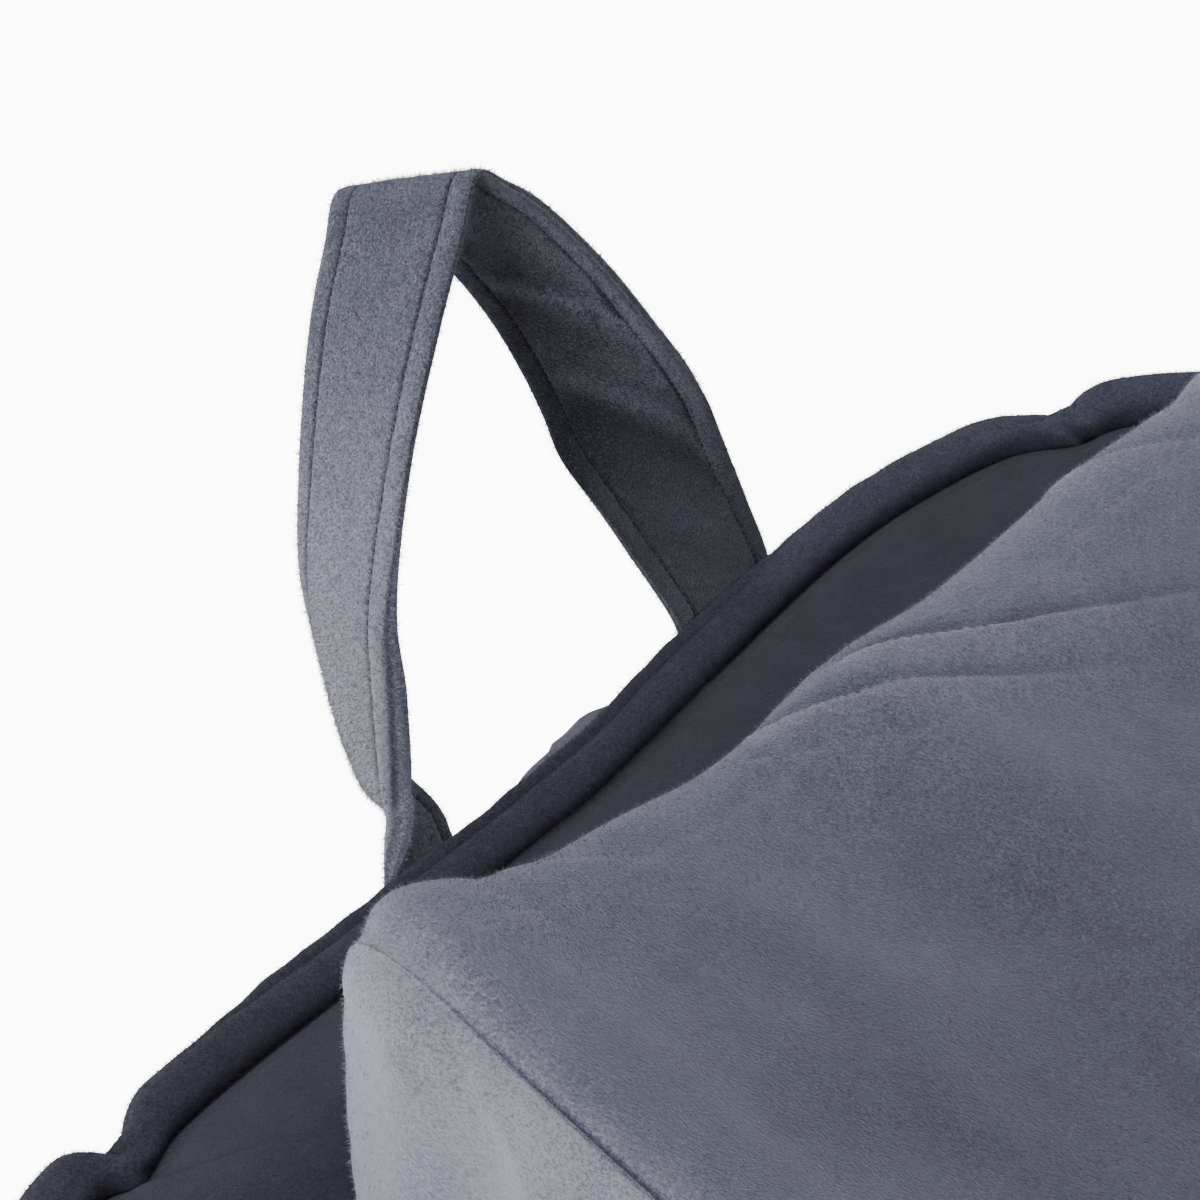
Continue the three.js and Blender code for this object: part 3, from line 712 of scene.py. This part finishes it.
# Steps of each part of its section: under it, round the toe, top, ridge, back, round the heel
SEAT_STEPS, TOE_STEPS, TOP_STEPS, RIDGE_STEPS, BACK_STEPS, HEEL_STEPS = 8, 14, 150, 26, 34, 8
FIRST_TOP_STEP = 2 * SEAT_STEPS + TOE_STEPS
TOP_CROWDING = 1.5
WEDGE_STATIONS = 311
END_RINGS = 26

# Its section: radius of the heel, reach of the ridge's curve down the top and down the back, reach
# of the toe's curve, how far the back swells out, and how far the top is crowned, down and up
HEEL_RADIUS, RIDGE_REACH, RIDGE_DROP, TOE_REACH, BACK_SWELL = 12, 25.5, 17, 24, 5
TOP_CROWN = (4, 15)

# How far the filling pushes the ridge out, and how far round the ridge it does so
RIDGE_FILL, RIDGE_FILL_REACH = 7.5, 34

# How much fuller the raised left corner is, and how far along the ridge
CORNER_FILL, CORNER_FILL_REACH = 3, 45

# The pinch beside that corner: depth, place from the end and from the ridge
PINCH_DEPTH, PINCH_FROM_END, PINCH_FROM_RIDGE = 3, 9, 12

# The seams of the end panels: least and greatest depth, half width, reach of their puckers
SEAM_DEPTHS, SEAM_HALF_WIDTH, SEAM_PUCKER_REACH = (0.3, 2.2), 1.5, 14

# The middle that the end panels close on: down from the back, over the seat
END_MIDDLE = (WEDGE_DEPTH * 0.3, 42)

# Painted light of the cover: on the top, added towards the right, a painted highlight by the ridge and
# by the ends, painted highlight and shade on the laps, and painted light on the left and the right end
# panel
TOP_PAINTED_LIGHT, RIGHTWARD_PAINTED_LIGHT, RIDGE_PAINTED_HIGHLIGHT, END_PAINTED_HIGHLIGHT, LAP_PAINTED_LIGHT = 0.31, 0.08, 0.2, 0.5, 0.6
LEFT_END_PAINTED_LIGHT, RIGHT_END_PAINTED_LIGHT = 0.9, 0.75


def quadratic(a, b, c, count, crowding=1):
    """Points on a quadratic curve for each row of its three corners, without its first point.
    Crowding over 1 brings them closer together towards the end."""
    t = 1 - (1 - np.linspace(0, 1, count + 1)[1:, None]) ** crowding
    a, b, c = a[:, None], b[:, None], c[:, None]
    return a * (1 - t) ** 2 + 2 * b * t * (1 - t) + c * t ** 2


def wedge_sections(height):
    """For each height of the ridge, the points (down, z) of a section round the wedge."""
    zero = np.zeros_like(height)

    def pair(down, z):
        return np.column_stack([zero + down, zero + z])

    slope = np.hypot(WEDGE_DEPTH, height)[:, None]
    unit = pair(WEDGE_DEPTH, -height) / slope
    ridge = pair(0, height)
    ridge_end = ridge + unit * RIDGE_REACH
    toe = ridge + unit * (slope - TOE_REACH)
    crown = lerp(ridge_end, toe, 0.45) + TOP_CROWN
    start, middle = pair(HEEL_RADIUS, 0), pair(WEDGE_DEPTH / 2, 0)
    front = pair(WEDGE_DEPTH - TOE_REACH, 0)
    back_top, back_foot = pair(0, height - RIDGE_DROP), pair(0, HEEL_RADIUS)
    parts = [quadratic(start, lerp(start, middle, 0.5), middle, SEAT_STEPS),
             quadratic(middle, lerp(middle, front, 0.5), front, SEAT_STEPS),
             quadratic(front, pair(WEDGE_DEPTH, 0), toe, TOE_STEPS),
             quadratic(toe, crown, ridge_end, TOP_STEPS, TOP_CROWDING),
             quadratic(ridge_end, lerp(crown, ridge_end, 1.21), back_top, RIDGE_STEPS),
             quadratic(back_top, pair(-BACK_SWELL, height * 0.45), back_foot, BACK_STEPS),
             quadratic(back_foot, pair(0, 0), start, HEEL_STEPS)]
    return np.concatenate(parts, 1)


def wedge_end(side, rim, path, seam_depth):
    """Rings of one end panel, from its seam inwards, and its middle point."""
    middle = np.array([WEDGE_BACK_Y - END_MIDDLE[0], SEAT_Z + END_MIDDLE[1]])
    panel = []
    for inward in np.linspace(0.012, 0.985, END_RINGS) ** 1.6:
        y, z = lerp(rim[:, 1], middle[0], inward), lerp(rim[:, 2], middle[1], inward)
        distance = np.hypot(y - rim[:, 1], z - rim[:, 2])
        standing = smooth(z, SEAT_Z, SEAT_Z + 15)
        swell = WEDGE_END_SWELL * (1 - np.exp(-distance / 8)) * lerp(0.6, 1, standing)
        puckers = ripples(path, distance * 0.3, END_PUCKERS) * np.exp(-distance / PUCKER_REACH)
        broad = ripples(y, z * 0.2, END_FOLDS) * smooth(distance, 5, 30)
        sunk = seam_depth * bump(distance, 0, SEAM_HALF_WIDTH)
        out = swell + (puckers * standing + broad) * smooth(distance, 0, 6) - sunk
        panel.append(np.column_stack([side * (WEDGE_HALF_WIDTH + out), y, z]))
    return np.array(panel), np.array([panel[-1][:, 0].mean(), *middle])


def wedge_cover():
    """The wedge's cover: its sections across the pad, closed by the two end panels."""
    crowding = 1.2
    x = WEDGE_HALF_WIDTH * np.sin(np.linspace(-1, 1, WEDGE_STATIONS) * crowding) / math.sin(crowding)
    height = between(WEDGE_RIDGE, x)
    section = wedge_sections(height)
    down, z = section[..., 0], section[..., 1]
    xs = np.repeat(x[:, None], section.shape[1], 1)
    from_end = WEDGE_HALF_WIDTH - np.abs(xs)
    path = np.cumsum(np.linalg.norm(np.diff(section, axis=1, prepend=section[:, :1]), axis=2), 1)
    from_ridge = np.hypot(down, z - height[:, None]) * np.where(down < 20, 1, 0.8)
    standing = smooth(z, 12, 40)
    lifted = z + 0.4 * standing * folds(xs, down, WEDGE_FOLDS)
    rings = np.stack([xs, WEDGE_BACK_Y - down, SEAT_Z + 0.3 + lifted], -1)

    left_corner = CORNER_FILL * bump(xs, -WEDGE_HALF_WIDTH, CORNER_FILL_REACH)
    left_corner = left_corner * smooth(-down, -60, 0)
    filled = RIDGE_FILL * bump(from_ridge, 0, RIDGE_FILL_REACH) + left_corner
    filled = filled * lerp(0.25, 1, smooth(from_end, 0, 14))
    seam_depth = lerp(*SEAM_DEPTHS, smooth(down, 10, 90))
    sunk = seam_depth * bump(from_end, 0, SEAM_HALF_WIDTH)
    puckers = ripples(path, from_end * 0.2, WEDGE_PUCKERS) * np.exp(-from_end / SEAM_PUCKER_REACH)
    soft = ripples(xs, path, WEDGE_SWELLS) + ripples(xs, path * 0.6, WEDGE_DENTS)
    soft = soft * (1 - 0.75 * bump(from_ridge, 0, 22))
    uneven = (puckers + soft) * smooth(from_end, 3, 30)
    on_top = np.zeros(section.shape[1])
    on_top[FIRST_TOP_STEP:FIRST_TOP_STEP + TOP_STEPS + RIDGE_STEPS] = 1
    on_top = standing * on_top
    laps, lap_painted_light = creases(xs, down, WEDGE_LAPS)
    laps = laps * smooth(from_ridge, 2, 18) * on_top
    pinch = PINCH_DEPTH * bump(xs, PINCH_FROM_END - WEDGE_HALF_WIDTH, 7)
    pinch = pinch * bump(from_ridge, PINCH_FROM_RIDGE, 8)
    move = (filled - sunk + laps - pinch + uneven) * smooth(z, 3, 14)
    rings = rings + outward_normals(rings) * move[..., None]

    left, left_middle = wedge_end(-1, rings[0], path[0], seam_depth[0])
    right, right_middle = wedge_end(1, rings[-1], path[0], seam_depth[0])
    # Painted light on the top: lighter towards the right, a painted highlight along the ridge and an
    # uneven one by the ends, and painted shade in the end seams
    end_highlight_reach = lerp(9, 20, 0.5 + ripples(path, xs * 0.3, END_HIGHLIGHT_UNEVENNESS)).clip(5, 30)
    end_highlight = END_PAINTED_HIGHLIGHT * np.exp(-from_end / end_highlight_reach) * smooth(z, 30, 60)
    seam_shade = lerp(0.3, 0.9, smooth(down, 15, 90)) * bump(from_end, 0, 1.2)
    painted_light = TOP_PAINTED_LIGHT + RIGHTWARD_PAINTED_LIGHT * smooth(xs, -120, 100) + RIDGE_PAINTED_HIGHLIGHT * bump(from_ridge, 0, 45)
    painted_light = painted_light + end_highlight - seam_shade + LAP_PAINTED_LIGHT * lap_painted_light * on_top
    # Both end panels are painted light, the left one with uneven lighter and darker streaks
    left_end_painted_light = LEFT_END_PAINTED_LIGHT + ripples(left[..., 1], left[..., 2] * 0.2, LEFT_END_STREAKS)
    right_painted_light = np.full(right.shape[:2], RIGHT_END_PAINTED_LIGHT)
    painted_light = np.concatenate([left_end_painted_light[::-1], painted_light, right_painted_light])
    rings = np.concatenate([left[::-1], rings, right])

    by_head = lerp(0.12, 1, smooth(rings[..., 1], 440, 490))
    off_ends = lerp(1, 0.12, smooth(np.abs(rings[..., 0]) - WEDGE_HALF_WIDTH, 3, 9))
    fuzz = smooth(rings[..., 2] - SEAT_Z, 8, 30) * by_head * off_ends
    middles = np.array([left_middle, right_middle])
    return loft("wedge_cover", rings, painted_light, wedge_velvet, middles, fuzz)


# The strap

def centripetal(points, t):
    """Points on a centripetal Catmull-Rom curve through the given ones, t running from 0 to 1."""
    points = np.array(points, float)
    last = len(points) - 1
    padded = np.vstack([2 * points[0] - points[1], points, 2 * points[-1] - points[-2]])
    place = t * last
    i = np.clip(place.astype(int), 0, last - 1)
    w = (place - i)[:, None]
    p0, p1, p2, p3 = (padded[i + k] for k in range(4))
    pairs = ((p0, p1), (p1, p2), (p2, p3))
    d0, d1, d2 = (np.sqrt(np.linalg.norm(b - a, axis=1))[:, None] for a, b in pairs)
    m1 = ((p1 - p0) / d0 - (p2 - p0) / (d0 + d1) + (p2 - p1) / d1) * d1
    m2 = ((p2 - p1) / d1 - (p3 - p1) / (d1 + d2) + (p3 - p2) / d2) * d1
    square, cube = 3 * (p2 - p1) - 2 * m1 - m2, 2 * (p1 - p2) + m1 + m2
    return p1 + m1 * w + square * w ** 2 + cube * w ** 3


def strap_frame(t):
    """Middle, width direction, outward direction, cup and length at each t along the strap."""
    middle = centripetal([(x, HEAD_Y + out, TOP_Z + up) for x, out, up, *_ in STRAP], t)
    tangent = np.gradient(middle, axis=0)
    length = np.cumsum(np.linalg.norm(np.diff(middle, axis=0, prepend=middle[:1]), axis=1))
    place = t * (len(STRAP) - 1)
    heading, rise, cup = (between(list(enumerate(column)), place) for column in list(zip(*STRAP))[3:])
    heading, rise = np.radians(heading), np.radians(rise)
    flat = np.cos(rise)
    width = np.column_stack([np.cos(heading) * flat, np.sin(heading) * flat, np.sin(rise)])
    outward = np.cross(width, tangent)
    outward /= np.linalg.norm(outward, axis=1, keepdims=True)
    return middle, width, outward, cup, length


# Half of the strap's section: across from the middle, height over its middle plane, and how much
# the height grows where the hem has rolled up
STRAP_FACE = [(0, 2.4, 0), (8, 2.4, 0), (14, 2.3, 0), (16.6, 2.1, 0), (17.5, 1.6, 0), (17.9, 1.6, 0),
              (18.8, 2.0, 0.3), (21, 2.2, 1.6), (23.4, 2.1, 2.0), (24.8, 1.5, 1.7), (25, 0.8, 0.9),
              (24.5, 0, 0)]
FACE_POINTS = 26
STRAP_STATIONS = 480

# Along the strap: half length of the fold at the top, how far from the rear foot its hem is rolled
# up and over which half length, and from where to where it unrolls beyond the front foot
FOLD_HALF_LENGTH = 16
REAR_ROLL, REAR_ROLL_HALF_LENGTH = 110, 60
FRONT_UNROLLS = (70, 130)

# How narrow the front foot is squeezed, about which line across, and where it has its full width
FOOT_SQUEEZE, SQUEEZE_LINE, FULL_WIDTH_FROM = 0.68, -12, 56

# Painted light on the strap: painted shade on the inner face, painted light on the outer face at the
# front foot and beyond, and how much painted shade lies along the stitches and between the hem's rolled
# layers
INNER_PAINTED_SHADE, FRONT_FOOT_PAINTED_LIGHT, OUTER_PAINTED_LIGHT, STITCH_SHADE = 0.13, 0.95, 0.34, 0.35

# Where the stitches run, across from the middle, and how many stations they stay off the feet
STITCH_LINE = 17.7
STITCH_MARGIN = 6


def strap_outline():
    """The strap's section as rows (across, height, growth), once round."""
    place = np.linspace(0, len(STRAP_FACE) - 1, FACE_POINTS)
    face = np.column_stack([between(list(enumerate(column)), place) for column in zip(*STRAP_FACE)])
    right_down = face[::-1][1:] * (1, -1, -1)
    left_down = face[1:] * (-1, -1, -1)
    left_up = face[::-1][1:-1] * (-1, 1, 1)
    return np.concatenate([face, right_down, left_down, left_up])


# Creases of the strap's cloth between its hems: length, across, to length, to across, width, rise
STRAP_CREASES = [(45, 10, 90, -12, 7, 0.7), (75, 14, 112, 0, 5, -0.7),
                 (262, -14, 300, 12, 5, 1.3), (285, -14, 322, 18, 4, -1.9), (296, -14, 340, 18, 6, 2.0),
                 (330, -10, 372, 16, 4, -2.3), (342, -8, 392, 18, 8, 2.8), (392, -12, 420, 10, 6, -1.4)]


def stitch_rows(rings, across, height, outward):
    """The paths of the stitches, a little off the cloth: two hems on each of the two faces."""
    stations = np.arange(len(rings))
    rows = []
    for side in (-1, 1):
        for face in (-1, 1):
            other_face = 9 * (height * face < 0)
            nearest = np.argmin(np.abs(across - side * STITCH_LINE) + other_face, axis=1)
            row = rings[stations, nearest] + 0.1 * face * outward
            rows.append(row[STITCH_MARGIN:-STITCH_MARGIN])
    return rows


def handle_strap():
    """The strap, the paths of its stitches and its length."""
    t = np.linspace(0, 1, STRAP_STATIONS)
    middle, width, outward, cup, length = strap_frame(t)
    across, height, growth = strap_outline().T
    along, across = np.meshgrid(length, across, indexing="ij")
    total = length[-1]
    right = across > 0

    # Where the strap is folded at the top, and where its hems are rolled up
    fold = bump(along, length[np.argmax(middle[:, 2])], FOLD_HALF_LENGTH)
    rear_roll = bump(along, total - REAR_ROLL, REAR_ROLL_HALF_LENGTH)
    front_roll = smooth(along, 6, 20) * (1 - smooth(along, *FRONT_UNROLLS))
    rolled_right = 1.15 * front_roll + 0.6 * rear_roll
    rolled = np.where(right, rolled_right, 0.1 * rear_roll)

    thick = (height + growth * rolled) * (1 - 0.35 * fold)
    across = across * (1 - 0.06 * np.where(right, rolled_right, 0) * bump(height, 0, 1.2))
    gathers = np.sign(height) * ripples(along, across, STRAP_GATHERS)
    thick = thick + gathers * bump(np.abs(across), 18, 4)
    between_hems = 1 - smooth(np.abs(across), 15, 19)
    creased = between_hems * folds(along, across, STRAP_CREASES)
    cupped = cup[:, None] * (1 - (across / STRAP_HALF_WIDTH) ** 2)
    lift = thick + cupped + ripples(along, across, STRAP_WAVES) + creased
    squeeze = lerp(FOOT_SQUEEZE, 1, smooth(along, 10, FULL_WIDTH_FROM))
    squeezed = (across - SQUEEZE_LINE) * squeeze + SQUEEZE_LINE
    rings = (middle[:, None] + width[:, None] * squeezed[..., None]
             + outward[:, None] * lift[..., None])

    # Painted light: the outer face and rolled hem painted light, lightest by the front foot, the inner
    # face in painted shade that follows its creases, and painted shade along the stitches and between
    # the hem's layers
    hem_painted_light = 0.7 * smooth(across, 17.5, 18.5) * (1 - smooth(along, 110, 170))
    outer = np.maximum(smooth(height, -0.8, 0.8), hem_painted_light)
    inner_painted_shade = INNER_PAINTED_SHADE - 0.06 * creased
    outer_painted_light = lerp(FRONT_FOOT_PAINTED_LIGHT, OUTER_PAINTED_LIGHT, smooth(along, 70, 240))
    painted_light = lerp(inner_painted_shade, outer_painted_light, outer)
    stitched = bump(np.abs(across), STITCH_LINE, 0.7)
    hem_layer_shade = (bump(height, 0.9, 0.5) + bump(height, -1.2, 0.5)) * (across > 20)
    painted_light = painted_light - STITCH_SHADE * (stitched + hem_layer_shade * (1 - smooth(along, 60, 140)))
    feet = rings[[0, -1]].mean(1)
    strap = loft("handle_strap", rings, painted_light, strap_velvet, feet, fuzz=1)
    return strap, stitch_rows(rings, across, height, outward), total


# The pieces

def finish_piece(obj, node):
    """Let the object stand for a node of the part."""
    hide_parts(node)
    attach(obj, "root")


pad = pad_cover()
finish_piece(pad, "pad")
piping = piping_roll()
finish_piece(piping, "piping")
wedge = wedge_cover()
finish_piece(wedge, "head_wedge")
strap, stitch_paths, strap_length = handle_strap()
finish_piece(strap, "handle")

topstitch = stitches("strap_stitches", stitch_paths, thread)
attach(topstitch, "root")

# Pile that stands out: cloth, name, slot, fibres to the square metre, length in metres, seed
for cloth, name, slot, density, length, seed in (
        (strap, "strap_pile", "velvet_strap", 1.28e6, 0.0022, 1),
        (piping, "piping_pile", "velvet_piping", 1.0e6, 0.0019, 2),
        (wedge, "wedge_pile", "velvet_wedge", 6e5, 0.0018, 3)):
    fibres = pile(cloth, name, density, length, seed)
    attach(fibres, "root")


# Floor, lights and camera

FLOOR_HALF_WIDTH = 6

# How strongly the floor glows on the pillow, and how strongly the camera sees it glow
FLOOR_GLOW, FLOOR_GLOW_SEEN = 1.8, 9.0


def floor_material():
    """White, glowing, and clear from below, so that it doesn't hide the underside."""
    material = bpy.data.materials.new("floor")
    material.use_nodes = True
    nodes, links = material.node_tree.nodes, material.node_tree.links
    shader = nodes["Principled BSDF"]
    shader.inputs["Base Color"].default_value = (0.9, 0.9, 0.9, 1)
    shader.inputs["Roughness"].default_value = 0.9
    shader.inputs["Emission Color"].default_value = (1, 1, 1, 1)
    for kind, output, least, most, target in (
            ("ShaderNodeLightPath", "Is Camera Ray", FLOOR_GLOW, FLOOR_GLOW_SEEN, "Emission Strength"),
            ("ShaderNodeNewGeometry", "Backfacing", 1, 0, "Alpha")):
        choice = nodes.new("ShaderNodeMapRange")
        choice.inputs["To Min"].default_value = least
        choice.inputs["To Max"].default_value = most
        links.new(nodes.new(kind).outputs[output], choice.inputs["Value"])
        links.new(choice.outputs["Result"], shader.inputs[target])
    return material


half = FLOOR_HALF_WIDTH
floor_mesh = bpy.data.meshes.new("floor")
floor_corners = [(-half, -half, 0), (half, -half, 0), (half, half, 0), (-half, half, 0)]
floor_mesh.from_pydata(floor_corners, [], [(0, 1, 2, 3)])
floor_mesh.materials.append(floor_material())
floor = bpy.data.objects.new("floor", floor_mesh)
bpy.context.scene.collection.objects.link(floor)


def soft_light(name, place, target, size, power):
    """A square lamp that faces its target. Places and size are in metres, the power in watts."""
    light = bpy.data.lights.new(name, "AREA")
    light.shape = "SQUARE"
    light.size = size
    light.energy = power
    obj = bpy.data.objects.new(name, light)
    obj.location = place
    aim = np.array(target) - np.array(place)
    tilt = math.acos(-aim[2] / np.linalg.norm(aim))
    obj.rotation_euler = (tilt, 0, math.atan2(aim[1], aim[0]) - math.pi / 2)
    bpy.context.scene.collection.objects.link(obj)


soft_light("key", (-2.4, 0.2, 1.0), (0, 0.5, 0.15), 1.2, 130)
soft_light("overhead", (0.3, 0.2, 3.2), (0, 0.3, 0), 3.0, 240)

world = bpy.data.worlds.new("studio")
world.use_nodes = True
background = world.node_tree.nodes["Background"]
background.inputs["Color"].default_value = (1, 1, 1, 1)
background.inputs["Strength"].default_value = 0.5
bpy.context.scene.world = world

# The photo's camera: place in metres, tilt and turn in degrees, lens and sensor in millimetres
CAMERA_PLACE = (-0.778, -0.064, 0.934)
CAMERA_TILT, CAMERA_TURN = 53, -50
LENS, SENSOR = 126, 36

camera_data = bpy.data.cameras.new("camera")
camera_data.sensor_width = SENSOR
camera_data.lens = LENS
camera = bpy.data.objects.new("camera", camera_data)
camera.location = CAMERA_PLACE
camera.rotation_euler = (math.radians(CAMERA_TILT), 0, math.radians(CAMERA_TURN))
bpy.context.scene.collection.objects.link(camera)
bpy.context.scene.camera = camera
